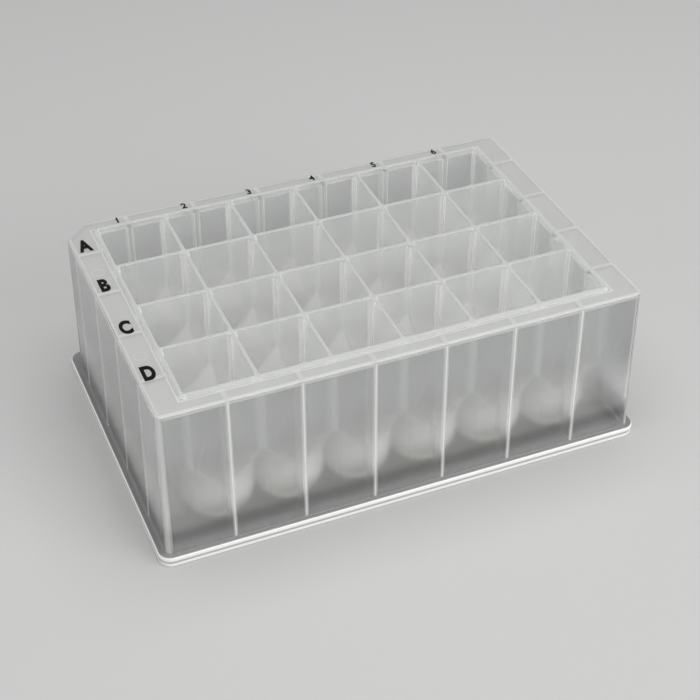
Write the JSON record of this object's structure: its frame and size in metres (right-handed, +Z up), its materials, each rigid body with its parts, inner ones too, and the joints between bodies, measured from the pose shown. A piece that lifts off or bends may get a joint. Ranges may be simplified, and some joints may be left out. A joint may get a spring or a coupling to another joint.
{
  "type": "deep-well plate",
  "caption": "Deep-well plate on the standard microplate footprint: square wells with round bottoms, a raised sealing rim, a skirt with a base flange and one cut corner.",
  "frame": {"origin": "centre of the base, on the surface the plate stands on", "axes": "+X along the numbered columns from 1 to 6, +Y towards row A, +Z up out of the wells"},
  "size_m": [0.1278, 0.0854, 0.045],
  "materials": {
    "natural_polypropylene": "frosted, translucent natural polypropylene"
  },
  "bodies": {
    "root": {"skirt": "natural_polypropylene", "ribs": "natural_polypropylene", "dividers": "natural_polypropylene", "well_bottoms_a": "natural_polypropylene", "well_bottoms_b": "natural_polypropylene", "well_bottoms_c": "natural_polypropylene", "well_bottoms_d": "natural_polypropylene"}
  },
  "joints": []
}
